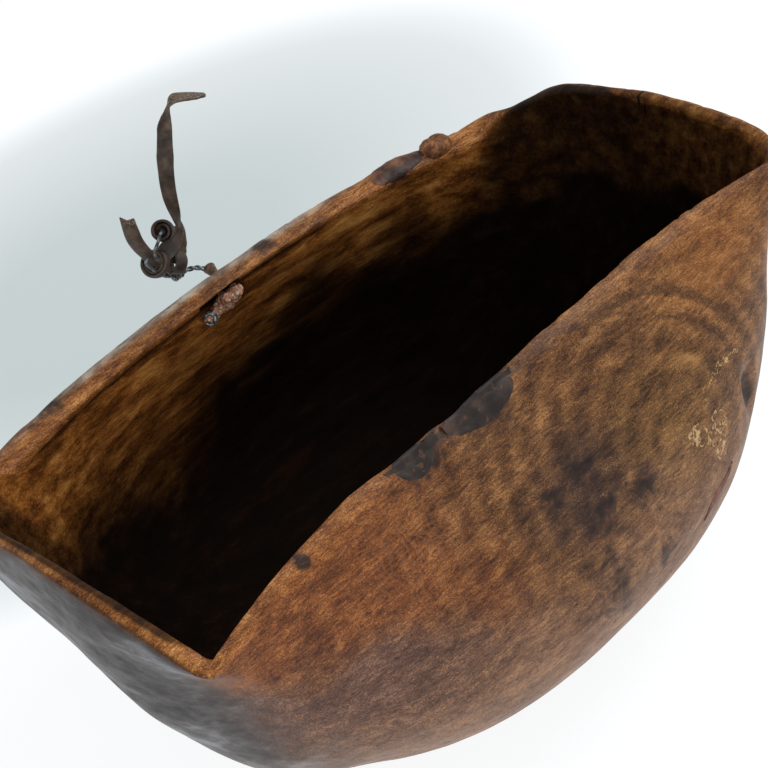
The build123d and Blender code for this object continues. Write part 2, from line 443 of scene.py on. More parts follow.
def arcs(s, place, lines):
    """1 on any of the arcs and 0 off them."""
    total = 0.0
    for centre, radius, breadth, middle, reach in lines:
        away = s.distance(place, in_metres(centre))
        off = s.maths("ABSOLUTE", s.minus(away, radius * MM))
        line = s.between(off, breadth * MM, 0.35 * breadth * MM)
        shown = s.between(s.distance(place, in_metres(middle)), reach * MM, 0.6 * reach * MM)
        total = s.maths("MAXIMUM", s.times(line, shown), total)
    return total


def wood_grain(s, place):
    """The wood's textures, each from 0 to 1; those drawn out follow the length of the bowl."""

    def drawn(scale, stretch, detail, roughness, distortion=0.0):
        along = s.stretched((stretch, 1.0, 1.0), place=place)
        return s.noise(scale, along, detail, roughness, distortion)

    return SimpleNamespace(
        fibre=drawn(1050.0, 0.16, 6.0, 0.66),
        fine=drawn(2600.0, 0.45, 3.0, 0.6),
        streak=drawn(150.0, 0.14, 6.0, 0.62),
        cloud=s.noise(30.0, s.place, 5.0, 0.6),
        mottle=drawn(150.0, 0.42, 8.0, 0.70, 0.3),
        pores=s.between(drawn(1300.0, 0.16, 2.0, 0.5), 0.40, 0.30),
        blots=drawn(62.0, 0.8, 6.0, 0.66, 0.9),
        grey_streak=s.noise(75.0, s.stretched((0.8, 0.14, 0.55), place=place), 6.0, 0.66),
    )


def figured(s, place, tone):
    """The tone with the rings of the wood's figure in it."""
    figure = s.node(
        "TexWave",
        {
            "Vector": s.vector("SUBTRACT", place, in_metres(FIGURE_HEART)),
            "Scale": 24.0,
            "Distortion": 1.6,
            "Detail": 3.0,
            "Detail Scale": 2.0,
        },
        wave_type="RINGS",
        rings_direction="SPHERICAL",
    ).outputs["Fac"]
    return s.plus(tone, s.times(s.minus(figure, 0.5), 0.045))


def outside_wood(s, grain, place, scraped, tone):
    """Colour of the outer skin: brown, with its tints, dark figure lines and pores, a painted paler sheen
    low down and a painted grey sheen on the left end.
    """
    wall = figured(s, place, tone)
    colour = s.ramp(wall, WOOD_STOPS, (50, 31, 20), (90, 58, 35), (122, 82, 49), (170, 120, 72))
    gold = s.ramp(wall, (0.41, 0.50, 0.60), (46, 30, 18), (110, 77, 42), (160, 118, 70))
    colour = s.blend(s.mask("gold"), colour, gold)
    for name, share, *tones in TINTS:
        colour = s.blend(s.times(s.mask(name), share), colour, s.ramp(tone, TINT_STOPS, *tones))
    uneven = s.level(s.between(grain.mottle, 0.4, 0.55), 0.3, 1.0)
    lines = s.times(arcs(s, scraped, FIGURE_LINES), uneven)
    colour = s.blend(s.times(lines, 0.6), colour, (50, 33, 24))
    # Painted paler sheen low on the outside: the glowing floor's reflection.
    floor_sheen = s.ramp(tone, TINT_STOPS, (88, 62, 48), (140, 104, 80), (184, 144, 112))
    colour = s.blend(s.mask("low"), colour, floor_sheen)
    colour = s.blend(s.times(grain.pores, 0.6), colour, (48, 32, 24))
    pale_fibre = s.between(s.times(grain.fine, grain.mottle), 0.30, 0.38)
    colour = s.blend(s.times(pale_fibre, 0.35), colour, (178, 126, 76))
    curl = s.node("TexWave", {"Vector": place, "Scale": 85.0, "Distortion": 14.0, "Detail": 5.0})
    curl_share = s.times(s.mask("curl"), s.between(curl.outputs["Fac"], 0.55, 0.95))
    colour = s.blend(s.times(curl_share, 0.14), colour, (168, 124, 96))
    # Painted grey reflection of the sky and floor on the left-facing end, with dark streaks in it.
    grey_sheen = s.ramp(
        grain.grey_streak,
        (0.36, 0.46, 0.54, 0.64),
        (30, 27, 26),
        (62, 57, 55),
        (88, 84, 83),
        (134, 134, 138),
    )
    return s.blend(s.mask("grey_sheen"), colour, grey_sheen)


def inside_wood(s, grain):
    """Colour of the hollow: orange where light reaches, nearly black where it is deep."""
    hollow = s.weighed(
        (grain.fibre, 0.16),
        (grain.streak, 0.36),
        (grain.mottle, 0.22),
        (grain.cloud, 0.10),
        (grain.fine, 0.16),
    )
    light = s.ramp(
        hollow, (0.40, 0.47, 0.53, 0.60), (40, 20, 10), (112, 64, 27), (172, 108, 48), (226, 164, 88)
    )
    painted_shade = s.ramp(hollow, (0.42, 0.52, 0.60), (11, 6, 3), (20, 11, 6), (34, 20, 11))
    return s.blend(s.mask("deep"), light, painted_shade)


def worn_wood(s, grain, tone, colour):
    """The colour with the rim rubbed orange, a painted pale reflection on its bevel and its lip in
    painted shadow.
    """
    worn = s.ramp(tone, WOOD_STOPS, (62, 34, 18), (120, 70, 34), (170, 108, 54), (218, 162, 100))
    patchy = s.times(s.mask("worn"), s.level(s.between(grain.cloud, 0.34, 0.6), 0.45, 1.0))
    colour = s.blend(patchy, colour, worn)
    # Painted pale reflection on the far rim's outer bevel.
    bevel_sheen = s.ramp(grain.mottle, (0.38, 0.50, 0.62), (96, 84, 72), (146, 137, 124), (196, 186, 170))
    bevel_share = s.times(s.mask("bevel_sheen"), s.level(s.between(grain.cloud, 0.3, 0.6), 0.5, 1.0))
    colour = s.blend(bevel_share, colour, bevel_sheen)
    return s.blend(s.mask("lip"), colour, (20, 10, 5))


def marked_wood(s, grain, place, scraped, colour):
    """The colour with the marks of use, soot stains, cracks and scratches, and painted shade in the slot.
    """
    reach = s.plus(grain.blots, s.times(s.mask("stain"), 0.32))
    stain = s.times(s.between(reach, 0.55, 0.78), s.between(s.mask("stain"), 0.0, 0.15))
    soot = s.ramp(grain.mottle, (0.40, 0.52, 0.62), (34, 25, 24), (54, 39, 34), (92, 62, 46))
    colour = s.blend(s.times(stain, 0.9), colour, soot)
    for centre, radii in CRACKS:
        reached = s.out_of(in_metres(centre), in_metres(radii), place)
        crack = s.times(s.between(reached, 1.15, 0.6), s.mask("inside"))
        colour = s.blend(crack, colour, (12, 7, 5))
    # Painted shade in the slot's opening.
    colour = s.blend(s.mask("hole_shadow"), colour, (10, 6, 4))
    broken = s.between(s.noise(330.0, s.place, 5.0, 0.7), 0.47, 0.53)
    scratch = s.times(s.times(arcs(s, scraped, SCRATCHES), broken), 0.8)
    return s.blend(scratch, colour, (206, 168, 116))


def bowl_wood(name, shine):
    """Old dark hardwood, worn orange along the rim, with a painted grey sheen on its left end."""
    s = Shader(name)
    place = s.shaken(22.0, 3.0, 7 * MM)
    scraped = s.shaken(300.0, 2.0, 9 * MM)
    grain = wood_grain(s, place)
    tone = s.weighed((grain.fibre, 0.26), (grain.mottle, 0.30), (grain.cloud, 0.12), (grain.fine, 0.32))
    outside = outside_wood(s, grain, place, scraped, tone)
    colour = s.blend(s.mask("inside"), outside, inside_wood(s, grain))
    colour = worn_wood(s, grain, tone, colour)
    colour = marked_wood(s, grain, place, scraped, colour)
    gloss = s.level(s.between(grain.streak, 0.3, 0.7), 0.38, 0.52)
    roughness = s.plus(gloss, s.times(s.mask("inside"), 0.30))
    height = s.plus(s.times(grain.fibre, 0.5), s.times(grain.mottle, 0.6))
    height = s.minus(height, s.times(grain.pores, 0.25))
    normal = s.bump(height, 0.35 * MM, 0.55)
    return s.finish(colour, roughness, normal, Specular_IOR_Level=shine)


def pitch():
    """Old pitch and resin: nearly smooth, dark, a little glossy."""
    s = Shader("pitch")
    cloud = s.noise(90.0, detail=5.0)
    grain = s.noise(900.0, detail=3.0)
    colour = s.ramp(cloud, (0.34, 0.5, 0.64), (33, 26, 23), (50, 40, 36), (80, 62, 52))
    across = s.node("SeparateXYZ", {"Vector": s.place}).outputs["Y"]
    resin = s.ramp(cloud, (0.36, 0.5, 0.62), (42, 27, 22), (74, 48, 39), (126, 86, 62))
    colour = s.blend(s.between(across, -0.02, 0.06), colour, resin)
    warm = s.between(s.noise(240.0, detail=2.0), 0.62, 0.72)
    colour = s.blend(s.times(warm, 0.3), colour, (132, 92, 62))
    normal = s.bump(s.plus(cloud, s.times(grain, 0.3)), 0.5 * MM, 0.6)
    return s.finish(colour, s.level(grain, 0.36, 0.56), normal, Specular_IOR_Level=0.25)


def red_filler():
    """Reddish filler in the split."""
    s = Shader("red_filler")
    cloud = s.noise(300.0, detail=5.0)
    colour = s.ramp(cloud, (0.36, 0.52, 0.66), (58, 26, 20), (104, 50, 38), (140, 84, 60))
    return s.finish(colour, s.level(cloud, 0.5, 0.7), s.bump(cloud, 0.4 * MM))


def knot_wood():
    """A knot in the rim, orange-brown and swirled."""
    s = Shader("knot_wood")
    swirl = s.noise(260.0, s.stretched((1.0, 1.0, 0.45)), 5.0, 0.6, 1.2)
    fine = s.noise(1500.0, detail=4.0)
    tone = s.plus(s.times(swirl, 0.7), s.times(fine, 0.3))
    colour = s.ramp(tone, (0.38, 0.5, 0.61), (74, 44, 27), (116, 72, 42), (160, 106, 64))
    return s.finish(colour, s.level(fine, 0.45, 0.65), s.bump(tone, 0.22 * MM), Specular_IOR_Level=0.25)


def packing_stuff():
    """Crumbs of resin and hide: pink, cream and orange."""
    s = Shader("packing")
    crumbs = s.node("TexVoronoi", {"Vector": s.place, "Scale": 620.0, "Randomness": 1.0})
    pick = s.node("SeparateColor", {"Color": crumbs.outputs["Color"]}).outputs[0]
    fine = s.noise(1600.0, detail=4.0)
    colour = s.ramp(
        pick,
        (0.0, 0.35, 0.6, 0.8, 1.0),
        (150, 98, 70),
        (206, 150, 122),
        (224, 180, 150),
        (188, 120, 66),
        (240, 216, 190),
    )
    # Painted shade in the gaps between the crumbs.
    gaps = s.between(crumbs.outputs["Distance"], 0.60, 0.30)
    colour = s.blend(s.level(gaps, 0.55, 0.0), colour, (92, 56, 40))
    height = s.plus(s.times(gaps, 0.8), s.times(fine, 0.3))
    return s.finish(colour, s.level(fine, 0.5, 0.8), s.bump(height, 0.6 * MM))


def stub_hide():
    """Brown rawhide."""
    s = Shader("stub_hide")
    cloud = s.noise(420.0, detail=5.0)
    fine = s.noise(1800.0, detail=3.0)
    colour = s.ramp(cloud, (0.36, 0.52, 0.66), (58, 42, 34), (104, 74, 52), (146, 104, 70))
    return s.finish(colour, s.level(fine, 0.5, 0.75), s.bump(fine, 0.3 * MM))


def wire_metal():
    """Dull grey iron wire with a darker film."""
    s = Shader("wire")
    film = s.noise(500.0, detail=5.0)
    fine = s.noise(2600.0, detail=2.0)
    colour = s.ramp(film, (0.38, 0.52, 0.66), (70, 76, 78), (128, 134, 136), (178, 182, 182))
    return s.finish(colour, s.level(film, 0.55, 0.32), s.bump(fine, 0.06 * MM), Metallic=0.75)


def leather(name, face, flesh, flesh_share):
    """Old dark leather: creased grain, worn edges, a lighter, fibrous flesh side, and painted shade where
    a piece lies in shadow.
    """
    s = Shader(name)
    cells = s.node("TexVoronoi", {"Vector": s.place, "Scale": 1500.0}, feature="DISTANCE_TO_EDGE")
    crease = s.between(cells.outputs["Distance"], 0.0, 0.12)
    cloud = s.noise(150.0, detail=6.0, roughness=0.6)
    fine = s.noise(1900.0, detail=3.0)
    low, mid, high = face
    colour = s.ramp(cloud, (0.34, 0.5, 0.66), low, mid, high)
    colour = s.blend(s.level(crease, 0.35, 0.0), colour, low)
    speckle = s.ramp(fine, (0.42, 0.55, 0.66), *flesh)
    colour = s.blend(s.times(s.mask("flesh"), flesh_share), colour, speckle)
    # Painted shade on the pieces that lie in shadow.
    colour = s.blend(s.times(s.mask("painted_shade"), 0.75), colour, low)
    edge_tone = s.times(s.mask("edge"), s.between(cloud, 0.35, 0.6))
    colour = s.blend(s.times(edge_tone, 0.5), colour, high)
    height = s.plus(s.times(crease, 0.5), s.times(fine, 0.4))
    return s.finish(colour, s.level(cloud, 0.45, 0.68), s.bump(height, 0.12 * MM, 0.8))


# ---------------------------------------------------------------- the bowl
def slot_field(grid):
    """Distance outside the slot's outline, looked at along Y; below 0 is inside."""
    radius = SLOT_HEIGHT / 2
    half = SLOT_LENGTH / 2 - radius
    across = np.maximum(np.abs(grid[..., 0] - SLOT_CENTRE[0]) - half, 0.0)
    return np.hypot(across, grid[..., 2] - SLOT_CENTRE[1]) - radius


def spot(grid, centre, radii):
    """A soft-edged ellipsoid: 1 at its centre and 0 outside it."""
    distance = np.linalg.norm((grid - np.array(centre) * MM) / (np.array(radii) * MM), axis=-1)
    return smoothstep(1.0, 0.0, distance)


# Each: centre and radii in mm of a soft spot, then its strength. That is mm upward for the
# lifts of the rim, mm outward for the bulges, and a share of black for the stains.
RIM_LIFTS = (
    ((20, 100, 156), (95, 30, 40), 2.0),
    ((93, 97, 152), (22, 26, 30), 1.8),
    ((150, 86, 150), (16, 20, 30), 1.6),
    ((167, 80, 149), (6, 14, 30), -2.6),
    ((181, 52, 160), (30, 36, 40), 6.0),
    ((183, -25, 177), (26, 50, 40), -2.6),
    ((-68, -80, 169), (22, 30, 30), -1.6),
    ((-38, -80, 169), (16, 30, 30), -1.8),
    ((-100, -82, 169), (26, 30, 30), 1.4),
    ((20, -76, 168), (30, 30, 30), 1.4),
)
BULGES = (
    ((150, -92, 118), (70, 40, 60), 3.5),
    ((107, -112, 95), (11, 12, 19), -4.5),
    ((-165, -100, 95), (70, 50, 60), 4.5),
    ((-157, -65, 58), (45, 45, 45), 4.0),
    ((-194, 12, 110), (45, 55, 55), -4.6),
)
STAINS = (
    ((2, -106, 134), (20, 16, 22), 1.0),
    ((-21, -111, 129), (13, 12, 13), 0.9),
    ((-8, -120, 111), (28, 16, 18), 1.0),
    ((22, -121, 109), (24, 14, 16), 0.7),
    ((-15, -131, 82), (26, 14, 24), 0.75),
    ((20, -130, 78), (26, 18, 14), 0.6),
    ((-64, -80, 168), (24, 22, 14), 0.8),
    ((-24, -79, 167), (30, 22, 16), 0.9),
    ((-45, -78, 169), (26, 12, 6), 1.0),
    ((8, 95, 158), (15, 12, 8), 1.0),
    ((-125, 99, 151), (20, 14, 8), 0.9),
    ((93, 92, 152), (24, 20, 12), 0.8),
    ((107, -112, 96), (9, 10, 16), 1.8),
    ((-131, -85, 172), (8, 8, 6), 1.5),
)
# Each: centre, radius and breadth in mm of an arc scratched through the polish, then the
# middle of the part that shows, and how far it reaches from there.
SCRATCHES = (
    ((73.4, -120.0, 101.7), 2.2, 1.1, (73, -120, 102), 12),
    ((75.4, -119.6, 103.0), 5.4, 0.7, (75, -120, 103), 12),
    ((71.0, -120.6, 99.0), 6.6, 0.6, (71, -121, 99), 12),
    ((58.0, -119.6, 108.5), 3.0, 1.3, (58, -120, 108), 12),
    ((61.0, -120.6, 105.5), 5.0, 0.8, (61, -121, 105), 12),
    ((69.5, -123.0, 93.5), 3.2, 0.9, (70, -123, 93), 12),
    ((91.0, -109.0, 59.9), 60.5, 0.5, (91, -109, 119), 19),
)
# The dark lines in the figure of the near wall, in the same terms.
FIGURE_LINES = (
    ((50, -112, 112), 62.3, 3.4, (78, -88, 155), 52),
    ((52, -112, 112), 50.0, 1.6, (92, -98, 142), 26),
)
# Each: centre and radii in mm of a narrow crack running down the right end's inner face.
CRACKS = (
    ((184, 25, 165), (16, 0.9, 6.5)),
    ((184, 1, 174), (16, 0.9, 5.0)),
    ((184, -2, 169), (16, 0.8, 3.5)),
)
PATCHES = {
    "curl": ((-92, -100, 146), (46, 30, 52), 1.0),
    "gold": ((45, -110, 118), (80, 60, 48), 0.8),
    "orange": ((122, -84, 156), (66, 46, 34), 1.0),
    "shade": ((-6, -112, 124), (52, 40, 46), 1.0),
}
FIGURE_HEART = (50, -112, 112)


def carve(grid, foot_rows):
    """Cuts the handwork's unevenness, the slot and the rim's wear; also gives normals and masks."""
    normal = grid_normals(grid)
    row = np.arange(len(grid))[:, None] + np.zeros(COLUMNS)
    first_rim = foot_rows + OUTER_ROWS
    last_rim = first_rim + RIM_ROWS
    is_end = (SIDE % 2) * smoothstep(1.0, 0.86, np.abs(PLACE))
    inner_edge = last_rim - 11 * is_end
    inside = smoothstep(inner_edge - 4, inner_edge + 1, row)
    rim = smoothstep(inner_edge + 5 - 5 * is_end, inner_edge - 3, row)
    rim = rim * smoothstep(first_rim - 3, first_rim + 4, row)
    near_rim = smoothstep(first_rim - 14, first_rim, row) * smoothstep(last_rim + 26, last_rim, row)
    flat_foot = smoothstep(foot_rows, foot_rows + 8, row)
    push = 0.75 * value_noise(grid, 48 * MM, 1)
    push += 0.30 * value_noise(grid, (26 * MM, 14 * MM, 14 * MM), 2)
    push += 0.10 * value_noise(grid, (9 * MM, 5 * MM, 5 * MM), 3)
    push += 0.45 * value_noise(grid, (46 * MM, 9 * MM, 9 * MM), 4) * inside
    push -= 1.3 * np.clip(value_noise(grid, 5 * MM, 5) - 0.5, 0.0, None) * rim
    push += 0.22 * value_noise(grid, 7 * MM, 6) * rim
    for centre, radii, amount in BULGES:
        push += amount * spot(grid, centre, radii) * (1.0 - inside)
    left_far = (SIDE == 2) * smoothstep(0.96, 0.84, PLACE) * smoothstep(70 * MM, 20 * MM, grid[..., 0])
    groove = np.exp(-(((row - last_rim - 2.6) / 1.6) ** 2)) * left_far
    push -= 0.9 * groove
    push *= flat_foot
    slot = smoothstep(0.6 * MM, -0.6 * MM, slot_field(grid)) * (grid[..., 1] > 60 * MM)
    push -= slot * np.where(inside > 0.5, 7.0, 4.5)
    lift = np.zeros(row.shape)
    for centre, radii, amount in RIM_LIFTS:
        lift += amount * spot(grid, centre, radii)
    lifted = grid + (0, 0, MM) * (lift * near_rim)[..., None]
    # Where the far rim's outer bevel gets a painted pale reflection of the sky.
    bevel_sheen = smoothstep(first_rim + 12, first_rim + 6, row) * smoothstep(first_rim - 4, first_rim, row)
    bevel_sheen = bevel_sheen * (grid[..., 1] > 60 * MM)
    # The slot's mask paints it near black, as shade in the opening.
    masks = {"inside": inside, "worn": rim, "hole_shadow": slot, "lip": 0.75 * groove, "bevel_sheen": bevel_sheen}
    return lifted + normal * push[..., None] * MM, normal, masks


def bowl_masks(piece, grid, normal, masks):
    """Per-vertex numbers that the wood's material reads."""
    broad = value_noise(grid, 30 * MM, 11)
    x, y, z = np.moveaxis(grid, -1, 0)
    below = rim_height(x, y) - z
    inside = masks["inside"]

    # From the right-hand corners on, the rim is as dark and dull as the hollow.
    past_corner = np.select(
        [SIDE == 0, SIDE == 1, SIDE == 2],
        [(PLACE - 1.0) * CORNER_X, (1.0 - PLACE) * RIGHT_CORNER_Y, -(1.0 + PLACE) * CORNER_X],
        -1.0,
    )
    ragged = 9 * MM * broad + 5 * MM * value_noise(grid, 11 * MM, 12)
    fade = 5 * MM + 1.3 * np.clip(below, 0.0, 60 * MM)
    right_end = smoothstep(-fade, 4 * MM, past_corner + ragged * smoothstep(0, 20 * MM, below))
    dark_rim = right_end * smoothstep(-20 * MM, 30 * MM, y)
    inside = np.maximum(inside, masks["worn"] * dark_rim)
    masks["inside"] = inside
    outside = 1.0 - inside

    # The outside has a painted grey sheen where it faces left, is purple-brown near there, and has a
    # painted paler sheen, the floor's reflection, low down.
    facing_left = -normal[..., 0] + 0.10 * broad
    grey_sheen = smoothstep(0.55, 0.88, facing_left) * outside * smoothstep(0.5 * MM, 5 * MM, below)
    left = smoothstep(-20 * MM, -110 * MM, x + 16 * MM * broad) * outside
    ember = left * smoothstep(40 * MM, 22 * MM, below + 10 * MM * broad)
    left = left * smoothstep(20 * MM, 42 * MM, below + 10 * MM * broad)
    low = 0.8 * smoothstep(118 * MM, 62 * MM, z + 12 * MM * broad) * outside

    # The hollow is dark below the reach of the light, which is less at the right.
    rightward = smoothstep(-120 * MM, 110 * MM, x + 20 * MM * broad)
    lit_to = (98 - 40 * rightward) * MM
    end_depth = 0.86 + 0.08 * smoothstep(-45 * MM, 15 * MM, y)
    lit_edge = 3 * MM - 6 * MM * smoothstep(0, 30 * MM, y)
    left_lip = (SIDE == 3) * smoothstep(1.0, 0.86, np.abs(PLACE))
    depths = (
        smoothstep(-0.12 * lit_to, lit_to, below + 1.6 * ragged),
        end_depth * right_end * smoothstep(-1 * MM, 2 * MM, below - lit_edge),
        0.6 * right_end,
        0.85 * left_lip,
    )
    deep = np.maximum.reduce([depth * inside for depth in depths])

    # The rim is polished least at the right end and on the near side.
    polish = 1.0 - right_end * (0.75 + 0.25 * smoothstep(10 * MM, 40 * MM, y))
    near_side = (SIDE == 0) * smoothstep(-1.0, -0.7, PLACE)
    masks["worn"] = masks["worn"] * polish * (1.0 - 0.6 * near_side)
    shadowed = smoothstep(0, 1.5 * MM, below) * smoothstep(8 * MM, 3 * MM, below) * outside
    masks["lip"] = np.maximum(masks["lip"], 0.65 * shadowed * (SIDE == 3))
    stain = np.zeros(x.shape)
    for centre, radii, amount in STAINS:
        stain = np.maximum(stain, amount * spot(grid, centre, radii))
    bevel_sheen = masks["bevel_sheen"] * smoothstep(-180 * MM, -90 * MM, x) * smoothstep(90 * MM, 0 * MM, x)
    fields = {
        **masks,
        "bevel_sheen": bevel_sheen,
        "grey_sheen": grey_sheen,
        "low": low,
        "left": left,
        "ember": ember,
        "deep": deep,
        "stain": stain,
    }
    for name, (centre, radii, amount) in PATCHES.items():
        fields[name] = amount * spot(grid, centre, radii) * outside
    for name, values in fields.items():
        ends = [values[0].mean(), values[-1].mean()]
        attribute(piece, name, np.concatenate([values.ravel(), ends]))


def make_bowl(carved, first_inside, material, inside_material):
    """The carved bowl as one closed surface, its rows from first_inside on duller."""
    rows = len(carved)
    faces = closed_faces(rows, COLUMNS)
    ends = [(0.0, 0.0, 0.0), (0.0, 0.0, carved[-1, :, 2].mean())]
    vertices = np.concatenate([carved.reshape(-1, 3), ends])
    piece = mesh_object("bowl_body", vertices, faces, material)
    piece.data.materials.append(inside_material)
    kinds = np.zeros(len(faces), int)
    kinds[first_inside * COLUMNS : (rows - 1) * COLUMNS] = 1
    kinds[(rows - 1) * COLUMNS + 1 :: 2] = 1
    piece.data.polygons.foreach_set("material_index", kinds)
    return piece


def finer(grid, factor):
    """A grid with factor times as many steps each way, on the same flat facets."""
    for axis in (0, 1):
        count = grid.shape[axis]
        place = np.linspace(0.0, count - 1.0, (count - 1) * factor + 1)
        first = np.minimum(place.astype(int), count - 2)
        part = (place - first).reshape((-1, 1, 1) if axis == 0 else (1, -1, 1))
        grid = np.take(grid, first, axis) * (1 - part) + np.take(grid, first + 1, axis) * part
    return grid


def patch(name, carved, normal, height, material, depth=2.5):
    """A closed piece lying on the bowl: it shows where its height, in mm, is above 0."""
    shown = height(carved) > -1.0
    rows = np.flatnonzero(shown.any(axis=1))
    columns = np.flatnonzero(shown.any(axis=0))
    part = np.ix_(np.arange(rows[0] - 1, rows[-1] + 2), np.arange(columns[0] - 1, columns[-1] + 2))
    base, out = finer(carved[part], 4), finer(normal[part], 4)
    top = base + out * np.maximum(height(base), -1.2)[..., None] * MM
    bottom = base - out * depth * MM
    tall, wide = top.shape[:2]
    count = tall * wide
    r, c = np.meshgrid(np.arange(tall - 1), np.arange(wide - 1), indexing="ij")
    quads = np.stack([r * wide + c, r * wide + c + 1, (r + 1) * wide + c + 1, (r + 1) * wide + c], -1)
    quads = quads.reshape(-1, 4)
    faces = quads.tolist() + (quads[:, ::-1] + count).tolist()
    border = [(0, k) for k in range(wide)] + [(k, wide - 1) for k in range(1, tall)]
    border += [(tall - 1, k) for k in range(wide - 2, -1, -1)]
    border += [(k, 0) for k in range(tall - 2, 0, -1)]
    ring = [k * wide + m for k, m in border]
    for a, b in zip(ring, ring[1:] + ring[:1]):
        faces.append((b, a, a + count, b + count))
    return mesh_object(name, np.concatenate([top.reshape(-1, 3), bottom.reshape(-1, 3)]), faces, material)


# Repairs that lie on the bowl: node, centre, radii, height over the wood.
REPAIRS = (
    ("far_rim_pitch", (94, 91, 154), (15, 9.5, 8), 1.4),
    ("near_rim_pitch_left", (-66, -79, 169), (10.5, 8, 6), 0.45),
    ("near_rim_pitch_right", (-24, -78, 169), (19, 9, 9.5), 0.45),
)


def make_repairs(carved, normal, material):
    """The pitch patches, each following the wood under it."""
    for seed, (node, centre, radii, thick) in enumerate(REPAIRS, start=31):

        def height(points):
            away = (points - np.array(centre) * MM) / (np.array(radii) * MM)
            ragged = 0.20 * value_noise(points, 8 * MM, seed)
            ragged += 0.05 * value_noise(points, 2 * MM, seed + 9)
            field = 1.0 - np.linalg.norm(away, axis=-1) + ragged
            bumps = 0.5 * value_noise(points, 5 * MM, seed + 20)
            raised = thick * np.clip(field, 0, 1) ** 0.6 + bumps * np.clip(field, 0, 1)
            return np.where(field > 0, raised, field * 8)

        piece = patch(node + "_look", carved, normal, height, material)
        belong([piece], "bowl", node)


def make_knot(material):
    """The knot of wood that stands up out of the far rim."""
    centre, radii = np.array((118.0, 86.2, 151.0)) * MM, np.array((9.0, 7.0, 5.2)) * MM
    knot = lump("rim_knot_look", centre, radii, 71, 0.4 * MM, material, (0.9, 0.9, 0.8))
    belong([knot], "bowl", "rim_knot")


SPLIT_ROUTE = (
    (76 * MM, -124.4 * MM, 81 * MM),
    (71 * MM, -125.5 * MM, 77.8 * MM),
    (63 * MM, -127.4 * MM, 76 * MM),
    (57 * MM, -128.3 * MM, 74.5 * MM),
    (48 * MM, -129.3 * MM, 69.3 * MM),
)


def onto_surface(points, carved, rise):
    """The points moved onto the nearest part of the bowl, and a little out of it."""
    flat = carved.reshape(-1, 3)
    normal = grid_normals(carved).reshape(-1, 3)
    moved, out = [], []
    for point in points:
        near = np.linalg.norm(flat - point, axis=1)
        closest = np.argsort(near)[:4]
        share = 1.0 / (near[closest] + 0.1 * MM)
        share /= share.sum()
        direction = share @ normal[closest]
        direction /= np.linalg.norm(direction)
        height = (share @ flat[closest] - point).dot(direction)
        moved.append(point + direction * (height + rise))
        out.append(direction)
    return np.array(moved), np.array(out)


def make_split(carved, material):
    """Red filler in the lens-shaped split low on the near wall."""
    line = smooth_line(SPLIT_ROUTE, 0.6 * MM)
    points, out = onto_surface(line, carved, -0.15 * MM)
    share = np.linspace(0.0, 1.0, len(points))
    width = 4.6 * MM * np.sin(math.pi * share) ** 0.7 + 0.4 * MM
    side = np.cross(directions(points), out)
    piece = strap("split_filler_look", points, width, 1.1 * MM, side, material, seed=51)
    belong([piece], "bowl", "split_filler")


# ---------------------------------------------------------------- wires and straps
def smooth_line(route, step):
    """Evenly spaced points along a route, smoothed as a curve draws it."""
    curve = bpy.data.curves.new("line", "CURVE")
    curve.dimensions = "3D"
    curve.resolution_u = 16
    spline = curve.splines.new("NURBS")
    spline.points.add(len(route) - 1)
    for point, place in zip(spline.points, route):
        point.co = (*place, 1.0)
    spline.order_u = 3
    spline.use_endpoint_u = True
    holder = bpy.data.objects.new("line", curve)
    mesh = bpy.data.meshes.new_from_object(holder)
    points = np.array([v.co[:] for v in mesh.vertices])
    bpy.data.objects.remove(holder)
    bpy.data.meshes.remove(mesh)
    bpy.data.curves.remove(curve)
    return spaced(points, step)


def spaced(points, step):
    """The same line at an even step."""
    runs = np.linalg.norm(np.diff(points, axis=0), axis=1)
    reached = np.concatenate([[0.0], np.cumsum(runs)])
    wanted = np.linspace(0.0, reached[-1], max(2, int(round(reached[-1] / step)) + 1))
    return np.stack([np.interp(wanted, reached, points[:, a]) for a in range(3)], axis=1)


def directions(points):
    """Unit direction of a line at each of its points."""
    ahead = np.gradient(points, axis=0)
    return ahead / np.linalg.norm(ahead, axis=1, keepdims=True)


def carried(points, first):
    """A side direction carried along a line without twisting."""
    ahead = directions(points)
    side = np.array(first, float)
    sides = []
    for direction in ahead:
        side = side - direction * side.dot(direction)
        side = side / np.linalg.norm(side)
        sides.append(side)
    return np.array(sides)


def tube(name, points, radius, material, sides=12):
    """A round tube along points, its radius one number or one per point, its ends rounded."""
    points = np.asarray(points)
    ahead = directions(points)
    lead = (0.31, 0.87, 0.38) if abs(ahead[0].dot((0.31, 0.87, 0.38))) < 0.9 else (1, 0, 0)
    out = carried(points, lead)
    up = np.cross(ahead, out)
    turn = np.linspace(0, 2 * math.pi, sides, endpoint=False)
    radii = np.broadcast_to(radius, len(points)).astype(float).copy()
    ring = np.cos(turn)[None, :, None] * out[:, None] + np.sin(turn)[None, :, None] * up[:, None]
    vertices = (points[:, None] + ring * radii[:, None, None]).reshape(-1, 3)
    caps = [points[0] - ahead[0] * radii[0] * 0.6, points[-1] + ahead[-1] * radii[-1] * 0.6]
    faces = closed_faces(len(points), sides)
    return mesh_object(name, np.concatenate([vertices, caps]), faces, material)


STRAP_PROFILE = 24


